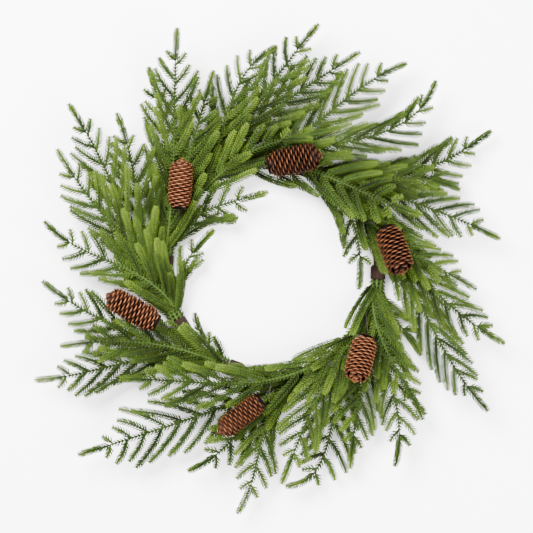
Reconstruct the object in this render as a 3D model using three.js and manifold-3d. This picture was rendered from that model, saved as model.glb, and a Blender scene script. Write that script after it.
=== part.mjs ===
// Norfolk pine wreath: sprays of artificial norfolk pine laid clockwise round a taped ring, with six cones.
// Millimetres, +Z up. The wreath lies on its back, and +Y is its top when it hangs.
import * as THREE from "three";
import { mergeVertices } from "three/addons/utils/BufferGeometryUtils.js";
import Module from "manifold-3d";

const wasm = await Module();
wasm.setup();

// Ring, wrapped in paper tape
const RING_RADIUS = 145;
const RING_SECTION = 5.5;
const RING_HEIGHT = 9.2;
const RING_STEPS = 40;
const RING_SIDES = 6;

// Wraps of tape that bind the stems to the ring
const WRAP_LENGTH = 18;
const WRAP_WALL = 1.4;
const WRAP_FOOT_HALF = 6;
const WRAP_CLEARANCE = 0.75;
const STEM_CLEARANCE = 0.5;
const WRAP_HALF_ANGLE = 3.6;
const BINDING_ANGLES = [212, 176, 145, 112, 72, 42, 358, 328, 296, 250];

// Stems and twigs
const STEM_ROOT_RADIUS = 2;
const STEM_TIP_RADIUS = 0.9;
const STEM_SEAT = RING_SECTION + STEM_ROOT_RADIUS + 0.3;
const ROOT_HALF_ANGLE = 4.6;
const STEM_LEAVES = 0.4;
const STEM_ARRIVES = 0.36;
const CURVE_STEPS = 40;
const STEM_STEP = 38;
const STEM_SIDES = 3;
const STEM_ROLL = -30;
const RIGHT_FACET = 0;
const LEFT_FACET = 1;
const TWIG_ROOT_RADIUS = 1.35;
const TWIG_TIP_RADIUS = 0.85;
const TWIG_SIDES = 3;
const TWIG_ROLL = 90;
const FIRST_SEED = 101;
const LEADER = 44;
const PAIR_STEP = 25;
const BARE_ROOT = 32;
const TWIG_SHORTEST = 21;
const TWIG_LONGEST = 70;
const TWIG_GROWTH = 0.56;
const TWIG_ANGLE_TIP = 50;
const TWIG_ANGLE_ROOT = 31;
const TWIG_ANGLE_REACH = 90;
const TWIG_BENDS = [0.05, 0.3];
const LENGTH_SPREAD = 0.24;
const SIDE_STAGGER = 5;
const ROOT_SPREAD = 2;
const ANGLE_SPREAD = 8;
const CARVED_STATIONS = 6;

// The sprays climb clockwise, each over the next, like shingles
const CLIMB = { outside: 0.6, inside: 0.35 };
const SPRAY_LEVEL = { outside: 16, inside: 10 };
const CLIMB_START = 4;
const CLIMB_END = 22;
const PITCH_TRIES = [0, 5, -5, 10, -10, 16, -16, 23];
const TWIG_GAP = 0.8;
const TWIG_SEAT_LENGTH = 3;

// Needles
const NEEDLE_LENGTH = 10.5;
const NEEDLE_BASE = 1.7;
const NEEDLE_ANGLE = 48;
const NEEDLE_GAP = 0.7;
const NEEDLE_RADIUS = 0.5;
const FLOOR_GAP = 0.4;
const TIP_WHORL = 6;
const WHORL_TURN = 60;
const SECOND_WHORL_FROM = 40;
const LEADER_WHORLS = [0.72, 0.42, 0.16];

// Cones
const CONE_ROWS = 7;
const CONE_SCALES = 7;
const CONE_GROOVE = 0.8;
const CONE_NOTCH = 0.9;
const CONE_HOLE = 1.9;
const CONE_HOLE_DEPTH = 9;
const WIRE_RADIUS = 0.9;
const WIRE_IN_CONE = 7;
const WIRE_STEPS = 18;
const HOOK_REACH = RING_SECTION + WIRE_RADIUS + 1.2;
const HOOK_SEATS = [150, 190, 230, 270, 310];
const HOOK_RISE = 18;

const SPRAY_GREEN = 0x4f7a2b;
const TAPE_BROWN = 0x2c1d16;
const CONE_BROWN = 0x8a4526;
const WIRE_BROWN = 0x3a2a20;

// The seat of a stem round the ring's section, in degrees from straight outward
const SEATS = { outer: -12, shoulder: 42, top: 90, inner_top: 138, inner: 192 };

// Each spray: the binding that holds it, its seat there, where it starts to climb (degrees clockwise
// from the binding), its tip, the way the tip points, and how wide its twigs open against the others'.
// Upstream sprays lie over downstream ones.
const SPRAYS = [
  { binding: 0, seat: "inner_top", climbs: -6, tip: [-306, 65], points: 130, spread: 1.2 },
  { binding: 0, seat: "top", climbs: 5, tip: [-288, 162], points: 119, spread: 1 },
  { binding: 0, seat: "shoulder", climbs: 15, tip: [-273, 223], points: 124, spread: 1 },
  { binding: 0, seat: "outer", climbs: 27, tip: [-208, 211], points: 112, spread: 1 },
  { binding: 1, seat: "top", climbs: 3, tip: [-126, 325], points: 86, spread: 1 },
  { binding: 1, seat: "inner_top", climbs: 13, tip: [-77, 268], points: 74, spread: 1 },
  { binding: 1, seat: "outer", climbs: 24, tip: [-166, 274], points: 108, spread: 1 },
  { binding: 2, seat: "inner_top", climbs: 4, tip: [57, 174], points: 354, spread: 1 },
  { binding: 2, seat: "top", climbs: 12, tip: [9, 300], points: 22, spread: 1 },
  { binding: 2, seat: "shoulder", climbs: 20, tip: [65, 331], points: 49, spread: 1 },
  { binding: 2, seat: "outer", climbs: 31, tip: [121, 293], points: 32, spread: 1 },
  { binding: 3, seat: "inner_top", climbs: 15, tip: [203, 72], points: 346, spread: 1.35 },
  { binding: 3, seat: "top", climbs: 12, tip: [184, 278], points: 20, spread: 1 },
  { binding: 3, seat: "shoulder", climbs: 22, tip: [223, 255], points: 72, spread: 0.75 },
  { binding: 4, seat: "outer", climbs: 30, tip: [300, 188], points: 38, spread: 1 },
  { binding: 4, seat: "top", climbs: 10, tip: [256, 107], points: 332, spread: 0.75 },
  { binding: 4, seat: "shoulder", climbs: 20, tip: [310, 40], points: 332, spread: 1 },
  { binding: 5, seat: "top", climbs: 2, tip: [278, -28], points: 328, spread: 1 },
  { binding: 5, seat: "shoulder", climbs: 13, tip: [316, -101], points: 331, spread: 0.9 },
  { binding: 5, seat: "outer", climbs: 24, tip: [293, -192], points: 313, spread: 0.85 },
  { binding: 6, seat: "inner_top", climbs: 0, tip: [205, -204], points: 291, spread: 1 },
  { binding: 6, seat: "top", climbs: 10, tip: [167, -267], points: 254, spread: 1 },
  { binding: 6, seat: "outer", climbs: 21, tip: [204, -118], points: 292, spread: 1 },
  { binding: 7, seat: "inner", climbs: -30, tip: [-204, -147], points: 180, spread: 1 },
  { binding: 7, seat: "top", climbs: 6, tip: [14, -290], points: 248, spread: 1 },
  { binding: 6, seat: "shoulder", climbs: 40, tip: [107, -271], points: 266, spread: 1 },
  { binding: 7, seat: "outer", climbs: 27, tip: [19, -294], points: 182, spread: 1.3 },
  { binding: 8, seat: "top", climbs: 6, tip: [-46, -332], points: 236, spread: 1 },
  { binding: 8, seat: "shoulder", climbs: 19, tip: [-113, -274], points: 201, spread: 1.2 },
  { binding: 8, seat: "outer", climbs: 31, tip: [-261, -251], points: 197, spread: 1.3 },
  { binding: 9, seat: "top", climbs: 2, tip: [-285, -104], points: 188, spread: 1 },
  { binding: 9, seat: "shoulder", climbs: 10, tip: [-321, -150], points: 182, spread: 1 },
  { binding: 9, seat: "outer", climbs: 20, tip: [-309, -16], points: 140, spread: 1 },
  { binding: 1, seat: "inner", climbs: 6, tip: [-3, 104], points: 16, spread: 1.2 },
  { binding: 4, seat: "inner", climbs: -10, tip: [118, -28], points: 262, spread: 1.2 },
  { binding: 0, seat: "inner", climbs: 6, tip: [-77, 54], points: 44, spread: 0.9 },
  { binding: 9, seat: "inner", climbs: 6, tip: [-104, -59], points: 100, spread: 1 },
];

// Each cone: its base and apex, its widest radius, and the ring angle where its wire hooks on
const CONES = [
  { base: [-124, 81, 50], apex: [-119, 150, 56], radius: 17.5, hook: 152 },
  { base: [-4, 139, 51], apex: [70, 154, 59], radius: 20.5, hook: 90 },
  { base: [155, 55, 50], apex: [177, -8, 74], radius: 20.5, hook: 27 },
  { base: [128, -92, 49], apex: [111, -152, 75], radius: 19, hook: 341 },
  { base: [-12, -176, 50], apex: [-72, -222, 51], radius: 16.5, hook: 273 },
  { base: [-153, -73, 50], apex: [-223, -33, 58], radius: 19, hook: 217 },
];

const radians = THREE.MathUtils.degToRad;
const UP = new THREE.Vector3(0, 0, 1);

// Seeded random numbers, so that the wreath grows the same way each time
function seededRandom(seed) {
  let state = seed >>> 0;
  return () => {
    state = (state + 0x6d2b79f5) >>> 0;
    let mixed = Math.imul(state ^ (state >>> 15), state | 1);
    mixed ^= mixed + Math.imul(mixed ^ (mixed >>> 7), mixed | 61);
    return ((mixed ^ (mixed >>> 14)) >>> 0) / 4294967296;
  };
}

// A vector in plan at an angle
function planar(degrees, length = 1) {
  return new THREE.Vector2(Math.cos(radians(degrees)), Math.sin(radians(degrees))).multiplyScalar(length);
}

// A share that eases from 0 to 1 between two values
function smoothStep(from, to, value) {
  const share = THREE.MathUtils.clamp((value - from) / (to - from), 0, 1);
  return share * share * (3 - 2 * share);
}

function solidOf(geometry) {
  const bare = geometry.clone();
  bare.deleteAttribute("normal");
  bare.deleteAttribute("uv");
  const merged = mergeVertices(bare, 1e-4);
  return new wasm.Manifold(
    new wasm.Mesh({
      numProp: 3,
      vertProperties: merged.attributes.position.array,
      triVerts: new Uint32Array(merged.index.array),
    }),
  );
}

function geometryOf(solid) {
  const mesh = solid.getMesh();
  const geometry = new THREE.BufferGeometry();
  geometry.setAttribute("position", new THREE.BufferAttribute(mesh.vertProperties, 3));
  geometry.setIndex(new THREE.BufferAttribute(mesh.triVerts, 1));
  geometry.computeVertexNormals();
  return geometry;
}

function namedMesh(name, geometry, color, roughness) {
  const mesh = new THREE.Mesh(geometry, new THREE.MeshStandardMaterial({ color, roughness, metalness: 0 }));
  mesh.name = name;
  return mesh;
}

// What is already in place, as thick line segments. Each belongs to a named piece and to a limb of it.
const placed = [];

function occupy(owner, limb, points, radius) {
  for (let i = 0; i + 1 < points.length; i += 1) {
    placed.push({ owner, limb, from: points[i], to: points[i + 1], radius });
  }
}

// Shortest distance between two line segments
function segmentDistance(a, b, c, d) {
  const ab = b.clone().sub(a);
  const cd = d.clone().sub(c);
  const ca = a.clone().sub(c);
  const abab = ab.dot(ab);
  const abcd = ab.dot(cd);
  const cdcd = cd.dot(cd);
  const abca = ab.dot(ca);
  const cdca = cd.dot(ca);
  const spread = abab * cdcd - abcd * abcd;
  let s = spread > 1e-9 ? THREE.MathUtils.clamp((abcd * cdca - abca * cdcd) / spread, 0, 1) : 0;
  const t = THREE.MathUtils.clamp((abcd * s + cdca) / cdcd, 0, 1);
  s = THREE.MathUtils.clamp((abcd * t - abca) / abab, 0, 1);
  return ca.addScaledVector(ab, s).addScaledVector(cd, -t).length();
}

function isClear(owner, limbs, points, radius, gap) {
  for (let i = 0; i + 1 < points.length; i += 1) {
    const from = points[i];
    const to = points[i + 1];
    const reach = from.distanceTo(to);
    for (const other of placed) {
      if (other.owner === owner && limbs.includes(other.limb)) continue;
      const limit = radius + other.radius + gap;
      if (from.distanceTo(other.from) > reach + limit + other.from.distanceTo(other.to)) continue;
      if (segmentDistance(from, to, other.from, other.to) < limit) return false;
    }
  }
  return true;
}

// Ring
function ringPoint(degrees, seat = 0, distance = 0) {
  const radius = RING_RADIUS + distance * Math.cos(radians(seat));
  const plan = planar(degrees, radius);
  return new THREE.Vector3(plan.x, plan.y, RING_HEIGHT + distance * Math.sin(radians(seat)));
}

function ringFrame() {
  const geometry = new THREE.TorusGeometry(RING_RADIUS, RING_SECTION, RING_SIDES, RING_STEPS);
  geometry.translate(0, 0, RING_HEIGHT);
  const centreline = [];
  for (let i = 0; i <= RING_STEPS; i += 1) centreline.push(ringPoint((i * 360) / RING_STEPS));
  occupy("ring_frame", "ring", centreline, RING_SECTION);
  return namedMesh("ring_frame", geometryOf(solidOf(geometry)), TAPE_BROWN, 0.9);
}

// Convex outline round a set of points
function hull(points) {
  const sorted = [...points].sort((p, q) => p.x - q.x || p.y - q.y);
  const half = (ordered) => {
    const chain = [];
    for (const p of ordered) {
      while (chain.length > 1) {
        const [a, b] = chain.slice(-2);
        if ((b.x - a.x) * (p.y - a.y) - (b.y - a.y) * (p.x - a.x) > 0) break;
        chain.pop();
      }
      chain.push(p);
    }
    return chain.slice(0, -1);
  };
  return [...half(sorted), ...half(sorted.reverse())];
}

function circlePoints(centre, radius, count) {
  const reach = radius / Math.cos(Math.PI / count);
  return Array.from({ length: count }, (_, i) => planar((i * 360) / count + 180 / count, reach).add(centre));
}

// A wrap of tape: the taut outline round the ring and its stems, with a flat foot underneath
function bindingWrap(name, degrees, seats) {
  const ringCentre = new THREE.Vector2(0, RING_HEIGHT);
  const stemCentres = seats.map((seat) => planar(SEATS[seat], STEM_SEAT).add(ringCentre));
  const outline = (wall) => [
    ...circlePoints(ringCentre, RING_SECTION + WRAP_CLEARANCE + wall, 8),
    ...stemCentres.flatMap((centre) => circlePoints(centre, STEM_ROOT_RADIUS + STEM_CLEARANCE + wall, 6)),
  ];
  const foot = [new THREE.Vector2(-WRAP_FOOT_HALF, 0), new THREE.Vector2(WRAP_FOOT_HALF, 0)];
  const outside = hull([...outline(WRAP_WALL), ...foot].filter((p) => p.y >= 0));
  const shape = new THREE.Shape(outside);
  shape.holes.push(new THREE.Path(hull(outline(0))));
  const geometry = new THREE.ExtrudeGeometry(shape, { depth: WRAP_LENGTH, bevelEnabled: false });
  geometry.translate(0, 0, -WRAP_LENGTH / 2);
  geometry.rotateX(Math.PI / 2);
  geometry.translate(RING_RADIUS, 0, 0);
  geometry.rotateZ(radians(degrees));
  const ends = [ringPoint(degrees - WRAP_HALF_ANGLE), ringPoint(degrees + WRAP_HALF_ANGLE)];
  occupy(name, "wrap", ends, STEM_SEAT + STEM_ROOT_RADIUS + 2);
  return namedMesh(name, geometryOf(solidOf(geometry)), TAPE_BROWN, 0.9);
}

// A route in plan and height, measured along its length
class Route {
  constructor(points) {
    this.points = points;
    this.distances = [0];
    for (let i = 1; i < points.length; i += 1) {
      this.distances.push(this.distances[i - 1] + points[i].distanceTo(points[i - 1]));
    }
    this.length = this.distances.at(-1);
  }
  at(distance) {
    const wanted = THREE.MathUtils.clamp(distance, 0, this.length);
    let i = 1;
    while (i < this.points.length - 1 && this.distances[i] < wanted) i += 1;
    const share = (wanted - this.distances[i - 1]) / (this.distances[i] - this.distances[i - 1]);
    return this.points[i - 1].clone().lerp(this.points[i], share);
  }
  heading(distance) {
    const ahead = this.at(distance + 3);
    const behind = this.at(distance - 3);
    return THREE.MathUtils.radToDeg(Math.atan2(ahead.y - behind.y, ahead.x - behind.x));
  }
}

// Height of a spray's foliage: level at its binding, then climbing with the angle it has travelled
function heightRule(spray) {
  const bound = BINDING_ANGLES[spray.binding];
  const seatHeight = RING_HEIGHT + STEM_SEAT * Math.sin(radians(SEATS[spray.seat]));
  const place = spray.seat === "inner" ? "inside" : "outside";
  return (x, y) => {
    const polar = THREE.MathUtils.radToDeg(Math.atan2(y, x));
    const travelled = THREE.MathUtils.euclideanModulo(bound - polar + 90, 360) - 90;
    const climbed = SPRAY_LEVEL[place] + CLIMB[place] * (travelled - spray.climbs);
    const shingle = Math.max(seatHeight, climbed);
    return seatHeight + (shingle - seatHeight) * smoothStep(CLIMB_START, CLIMB_END, travelled);
  };
}

// A stem runs along the ring through its binding, then sweeps out to its tip
function stemRoute(spray) {
  const bound = BINDING_ANGLES[spray.binding];
  const height = heightRule(spray);
  const seat = SEATS[spray.seat];
  const points = [];
  for (const turn of [ROOT_HALF_ANGLE, 0, -ROOT_HALF_ANGLE]) {
    points.push(ringPoint(bound + turn, seat, STEM_SEAT));
  }
  const leave = points.at(-1);
  const start = new THREE.Vector2(leave.x, leave.y);
  const tip = new THREE.Vector2(...spray.tip);
  const reach = start.distanceTo(tip);
  const curve = new THREE.CubicBezierCurve(
    start,
    start.clone().add(planar(bound - ROOT_HALF_ANGLE - 90, reach * STEM_LEAVES)),
    tip.clone().sub(planar(spray.points, reach * STEM_ARRIVES)),
    tip,
  );
  for (let i = 1; i <= CURVE_STEPS; i += 1) {
    const p = curve.getPoint(i / CURVE_STEPS);
    points.push(new THREE.Vector3(p.x, p.y, height(p.x, p.y)));
  }
  return new Route(points);
}

// A spray's surface grows as one closed skin: a stem whose facets carry twigs, and twigs whose facets
// carry needles
class Skin {
  constructor(owner) {
    this.owner = owner;
    this.vertices = [];
    this.index = [];
  }
  vertex(point) {
    this.vertices.push(point);
    return this.vertices.length - 1;
  }
  ring({ point, radius, roll }, along, sides) {
    const side = along.clone().cross(UP).normalize();
    const over = side.clone().cross(along);
    return Array.from({ length: sides }, (_, s) => {
      const angle = radians(roll + (s * 360) / sides);
      const out = side.clone().multiplyScalar(Math.cos(angle)).addScaledVector(over, Math.sin(angle));
      return this.vertex(point.clone().addScaledVector(out, radius));
    });
  }
  middle(corners) {
    const sum = corners.reduce((total, i) => total.add(this.vertices[i]), new THREE.Vector3());
    return sum.divideScalar(corners.length);
  }
  // The same ring, started at the vertex that twists the branch least
  matched(base, ring) {
    const shift = this.middle(ring).sub(this.middle(base));
    const twist = (turn) =>
      ring.reduce((sum, corner, s) => {
        const moved = this.vertices[base[(s + turn) % base.length]].clone().add(shift);
        return sum + moved.distanceTo(this.vertices[corner]);
      }, 0);
    const best = base.map((_, turn) => turn).sort((p, q) => twist(p) - twist(q))[0];
    return base.map((_, s) => base[(s + best) % base.length]);
  }
  // Two triangles for a facet, folded along the diagonal that lies further out
  fold([a, b, c, d], centre, along) {
    const away = (p, q) => this.middle([p, q]).sub(centre).cross(along).length();
    if (away(a, c) >= away(b, d)) this.index.push(a, d, c, a, c, b);
    else this.index.push(a, d, b, b, d, c);
  }
  // A needle drawn out of a facet, if it meets nothing
  needle([a, b, c, d], along, drawn, limb) {
    const [va, vb, vd] = [this.vertices[a], this.vertices[b], this.vertices[d]];
    const centre = this.middle([a, b, c, d]);
    const face = vd.clone().sub(va).cross(vb.clone().sub(va)).normalize();
    const lean = along.clone().multiplyScalar(Math.cos(radians(NEEDLE_ANGLE)));
    lean.addScaledVector(face, Math.sin(radians(NEEDLE_ANGLE)));
    const point = centre.clone().addScaledVector(lean, drawn);
    if (point.z < FLOOR_GAP) return false;
    if (!isClear(this.owner, [limb], [centre, point], NEEDLE_RADIUS, NEEDLE_GAP)) return false;
    const apex = this.vertex(point);
    this.index.push(b, a, apex, c, b, apex, d, c, apex, a, d, apex);
    occupy(this.owner, limb, [centre, point], NEEDLE_RADIUS);
    return true;
  }
  // A tapered branch through its stations to a point, from a closed end or from a ring of the skin
  branch(stations, sides, limb, base) {
    const centres = stations.map((station) => station.point);
    const rings = stations.slice(0, -1).map((station, i) => {
      if (i === 0 && base) return base;
      const along = centres[i + 1].clone().sub(centres[Math.max(i - 1, 0)]).normalize();
      return this.ring(station, along, sides);
    });
    if (base) rings[0] = this.matched(base, rings[1]);
    else for (let s = 1; s + 1 < sides; s += 1) this.index.push(rings[0][0], rings[0][s], rings[0][s + 1]);
    for (let i = 0; i + 1 < rings.length; i += 1) {
      const along = centres[i + 1].clone().sub(centres[i]).normalize();
      for (let s = 0; s < sides; s += 1) {
        const next = (s + 1) % sides;
        const facet = [rings[i][s], rings[i][next], rings[i + 1][next], rings[i + 1][s]];
        const [a, b, c, d] = facet;
        const twig = stations[i].twigs?.find(({ facetNumber }) => facetNumber === s);
        if (stations[i].needle && this.needle(facet, along, stations[i].needle, limb)) continue;
        if (twig) {
          this.index.push(a, d, c);
          this.branch(twig.stations, TWIG_SIDES, twig.limb, [a, b, c]);
        } else this.fold(facet, centres[i].clone().lerp(centres[i + 1], 0.5), along);
      }
    }
    const last = rings.at(-1);
    const tip = this.vertex(centres.at(-1));
    for (let s = 0; s < sides; s += 1) this.index.push(last[(s + 1) % sides], last[s], tip);
  }
  geometry() {
    const geometry = new THREE.BufferGeometry().setFromPoints(this.vertices);
    geometry.setIndex(this.index);
    return geometry;
  }
}

// Stations along a route: plain ones, and a short band for each whorl of needles or pair of twigs
function stationsAlong(route, plainAt, bands, rootRadius, tipRadius, firstRoll) {
  const stations = plainAt.map((distance) => ({ distance, roll: firstRoll }));
  for (const band of bands) {
    stations.push({ roll: firstRoll, ...band });
    stations.push({ distance: band.distance + band.width, roll: band.roll ?? firstRoll });
  }
  stations.push({ distance: route.length, roll: firstRoll });
  stations.sort((a, b) => a.distance - b.distance);
  return stations.map((station) => ({
    ...station,
    point: route.at(station.distance),
    radius: THREE.MathUtils.lerp(rootRadius, tipRadius, station.distance / route.length),
  }));
}

// Whorls of needles, each turned against the last; needles are shorter at the very tip
function whorls(route, distances, firstRoll) {
  return distances.map((distance, i) => ({
    distance,
    width: NEEDLE_BASE,
    roll: firstRoll + WHORL_TURN * (i % 2),
    needle: NEEDLE_LENGTH * Math.min(1, 0.5 + (route.length - distance) / 30),
  }));
}

// Twigs stand in pairs along the stem, short near its tip and longer towards its root
function twigPlans(route, spread, random) {
  const plans = [];
  let station = 0;
  for (let back = LEADER; route.length - back > BARE_ROOT; back += PAIR_STEP) {
    for (const side of [1, -1]) {
      const grown = Math.min(TWIG_LONGEST, TWIG_SHORTEST + TWIG_GROWTH * (back - LEADER));
      const length = grown * (1 + LENGTH_SPREAD * (random() - 0.5));
      const root = route.length - back - ROOT_SPREAD * random() - (side < 0 ? SIDE_STAGGER : 0);
      const towardsRoot = Math.min(1, (back - LEADER) / TWIG_ANGLE_REACH);
      const opens = THREE.MathUtils.lerp(TWIG_ANGLE_TIP, TWIG_ANGLE_ROOT, towardsRoot);
      const angle = opens * spread + ANGLE_SPREAD * (random() - 0.5);
      plans.push({ station, side, root, length, angle });
    }
    station += 1;
  }
  return plans;
}

// Of each pair beyond the first, one twig is carved, on alternate sides
function isCarved({ station, side }) {
  return station === 0 || (station < CARVED_STATIONS && side === (station % 2 ? -1 : 1));
}

// A twig turns off its stem in two steps, bends forward on the way and follows the foliage's height
function twigRoute({ root, length, side, angle }, route, height, pitch) {
  const half = length / 2;
  const heading = route.heading(root);
  const points = [route.at(root)];
  const reached = new THREE.Vector2(points[0].x, points[0].y);
  TWIG_BENDS.forEach((bend, i) => {
    reached.add(planar(heading + side * angle * (1 - bend), half));
    const rise = Math.tan(radians(pitch)) * half * (i + 1);
    points.push(new THREE.Vector3(reached.x, reached.y, height(reached.x, reached.y) + rise));
  });
  return new Route(points);
}

// What grows on each stem comes from its own seed
const sprays = SPRAYS.map((spray, i) => ({
  owner: `spray_${String(i + 1).padStart(2, "0")}`,
  route: stemRoute(spray),
  height: heightRule(spray),
  spread: spray.spread,
  random: seededRandom(FIRST_SEED + i),
}));

// Each twig takes the first pitch that keeps it clear of what is in place
function growTwigs(spray) {
  const { owner, route, height, spread, random } = spray;
  spray.twigs = [];
  twigPlans(route, spread, random).filter(isCarved).forEach((plan, i) => {
    const limb = `twig_${i}`;
    for (const pitch of PITCH_TRIES) {
      const twig = twigRoute(plan, route, height, pitch);
      const low = twig.points.some((point) => point.z < TWIG_ROOT_RADIUS + FLOOR_GAP);
      const outer = [twig.at(TWIG_SEAT_LENGTH * 4), ...twig.points.slice(1)];
      if (low || !isClear(owner, ["stem"], outer, TWIG_ROOT_RADIUS, TWIG_GAP)) continue;
      occupy(owner, limb, twig.points, TWIG_ROOT_RADIUS);
      spray.twigs.push({ ...plan, limb, route: twig });
      return;
    }
  });
}

// One spray: its stem with a band for each twig, and whorls of needles on both
function sprayMesh({ owner, route, twigs }) {
  const bands = twigs.map((twig) => {
    const middle = twig.route.length > SECOND_WHORL_FROM ? [twig.route.length / 2] : [];
    const needles = whorls(twig.route, [...middle, twig.route.length - TIP_WHORL], TWIG_ROLL);
    const stations = stationsAlong(twig.route, [0], needles, TWIG_ROOT_RADIUS, TWIG_TIP_RADIUS, TWIG_ROLL);
    const facetNumber = twig.side > 0 ? LEFT_FACET : RIGHT_FACET;
    const distance = twig.root - TWIG_SEAT_LENGTH / 2;
    return { distance, width: TWIG_SEAT_LENGTH, twigs: [{ facetNumber, limb: twig.limb, stations }] };
  });
  const leader = LEADER_WHORLS.map((share) => route.length - LEADER * share);
  bands.push(...whorls(route, leader, STEM_ROLL));
  const lowestTwig = Math.min(route.length - LEADER, ...twigs.map((twig) => twig.root));
  const leaves = route.distances[2];
  const plainAt = [0, route.distances[1], leaves];
  for (let at = lowestTwig - STEM_STEP; at > leaves + STEM_STEP / 3; at -= STEM_STEP) plainAt.push(at);
  const stations = stationsAlong(route, plainAt, bands, STEM_ROOT_RADIUS, STEM_TIP_RADIUS, STEM_ROLL);
  const skin = new Skin(owner);
  skin.branch(stations, STEM_SIDES, "stem");
  return namedMesh(owner, geometryOf(solidOf(skin.geometry())), SPRAY_GREEN, 0.6);
}

// How wide a cone is along its length: nearly even, then rounded over at the apex
function coneRadius(share) {
  if (share < 0.75) return 0.82 + 0.18 * Math.sin(Math.PI * (0.2 + 0.55 * share));
  return 0.98 * Math.sqrt(1 - ((share - 0.75) / 0.27) ** 2);
}

// A cone's skin: rows of scales, each row turned half a scale, with a groove above every lip
function coneGeometry(cone) {
  const base = new THREE.Vector3(...cone.base);
  const apex = new THREE.Vector3(...cone.apex);
  const length = base.distanceTo(apex);
  const vertices = [];
  const index = [];
  const ring = (height, count, turn, radiusAt) =>
    Array.from({ length: count }, (_, s) => {
      const flat = planar(turn + (s * 360) / count, radiusAt(s));
      vertices.push(new THREE.Vector3(flat.x, flat.y, height));
      return vertices.length - 1;
    });
  const between = (few, many, fewBelow) => {
    for (let s = 0; s < few.length; s += 1) {
      const next = (s + 1) % few.length;
      const [a, b, c] = [many[2 * s], many[2 * s + 1], many[(2 * s + 2) % many.length]];
      const faces = [
        [few[s], b, a],
        [few[s], few[next], b],
        [few[next], c, b],
      ];
      faces.forEach(([p, q, r]) => (fewBelow ? index.push(p, q, r) : index.push(p, r, q)));
    }
  };
  const half = 180 / CONE_SCALES;
  const pitch = length / (CONE_ROWS + 0.4);
  let previous = ring(0, CONE_SCALES, 0, () => cone.radius * 0.62);
  const floor = previous;
  for (let row = 0; row < CONE_ROWS; row += 1) {
    const turn = (row % 2) * half;
    const share = (row + 0.9) / (CONE_ROWS + 0.4);
    const wide = cone.radius * coneRadius(share);
    const lip = ring((row + 0.95) * pitch, 2 * CONE_SCALES, turn, (s) => wide * (s % 2 ? CONE_NOTCH : 1));
    between(previous, lip, true);
    const nextTurn = ((row + 1) % 2) * half;
    const groove = ring((row + 1) * pitch, CONE_SCALES, nextTurn, () => wide * CONE_GROOVE);
    const step = nextTurn > turn ? 1 : lip.length - 1;
    between(groove, lip.map((_, s) => lip[(s + step) % lip.length]), false);
    previous = groove;
  }
  vertices.push(new THREE.Vector3(0, 0, length));
  previous.forEach((v, s) => index.push(v, previous[(s + 1) % previous.length], vertices.length - 1));
  for (let s = 1; s + 1 < floor.length; s += 1) index.push(floor[0], floor[s + 1], floor[s]);
  const geometry = new THREE.BufferGeometry().setFromPoints(vertices);
  geometry.setIndex(index);
  const axis = apex.clone().sub(base).normalize();
  geometry.applyQuaternion(new THREE.Quaternion().setFromUnitVectors(UP, axis));
  geometry.translate(base.x, base.y, base.z);
  return geometry;
}

function coneMesh(name, cone) {
  const base = new THREE.Vector3(...cone.base);
  const axis = new THREE.Vector3(...cone.apex).sub(base).normalize();
  const hole = new THREE.CylinderGeometry(CONE_HOLE, CONE_HOLE, 2 * CONE_HOLE_DEPTH, 6);
  hole.applyQuaternion(new THREE.Quaternion().setFromUnitVectors(new THREE.Vector3(0, 1, 0), axis));
  hole.translate(base.x, base.y, base.z);
  const solid = solidOf(coneGeometry(cone)).subtract(solidOf(hole));
  const inset = cone.radius * 0.8;
  const lower = base.clone().addScaledVector(axis, inset);
  const upper = new THREE.Vector3(...cone.apex).addScaledVector(axis, -inset);
  occupy(name, "cone", [lower, upper], cone.radius);
  return namedMesh(name, geometryOf(solid), CONE_BROWN, 0.7);
}

// The wire of a cone: out of its base, down to the ring and round it
function wirePoints(cone) {
  const base = new THREE.Vector3(...cone.base);
  const axis = new THREE.Vector3(...cone.apex).sub(base).normalize();
  const above = ringPoint(cone.hook, HOOK_SEATS[0], HOOK_REACH + 4);
  above.z = RING_HEIGHT + HOOK_RISE;
  return [
    base.clone().addScaledVector(axis, WIRE_IN_CONE),
    base.clone().addScaledVector(axis, -3),
    base.clone().addScaledVector(axis, -9).add(new THREE.Vector3(0, 0, -6)),
    above,
    ...HOOK_SEATS.map((seat) => ringPoint(cone.hook, seat, HOOK_REACH)),
  ];
}

function wireMesh(name, cone) {
  const curve = new THREE.CatmullRomCurve3(wirePoints(cone), false, "centripetal");
  const section = new THREE.Shape(circlePoints(new THREE.Vector2(), WIRE_RADIUS * 0.8, 4));
  const sweep = { steps: WIRE_STEPS, extrudePath: curve, bevelEnabled: false };
  const geometry = new THREE.ExtrudeGeometry(section, sweep);
  occupy(name, "wire", curve.getPoints(24), WIRE_RADIUS);
  return namedMesh(name, geometryOf(solidOf(geometry)), WIRE_BROWN, 0.7);
}

// The wreath
const wreath = new THREE.Group();
wreath.add(ringFrame());
BINDING_ANGLES.forEach((degrees, i) => {
  const seats = SPRAYS.filter((spray) => spray.binding === i).map((spray) => spray.seat);
  wreath.add(bindingWrap(`binding_${String(i + 1).padStart(2, "0")}`, degrees, seats));
});
CONES.forEach((cone, i) => {
  wreath.add(coneMesh(`cone_${i + 1}`, cone));
  wreath.add(wireMesh(`cone_wire_${i + 1}`, cone));
});
sprays.forEach(({ route, owner }) => occupy(owner, "stem", route.points.slice(3), STEM_ROOT_RADIUS));
sprays.forEach(growTwigs);
sprays.forEach((spray) => wreath.add(sprayMesh(spray)));

// The origin is the middle of the underside of the whole wreath
const box = new THREE.Box3().setFromObject(wreath);
const middle = box.getCenter(new THREE.Vector3());
wreath.position.set(-middle.x, -middle.y, -box.min.z);

export default wreath;
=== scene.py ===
import math

import bmesh
import bpy
import numpy as np
from bpy.props import FloatProperty, FloatVectorProperty, IntProperty, PointerProperty
from mathutils import Matrix, Vector


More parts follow.
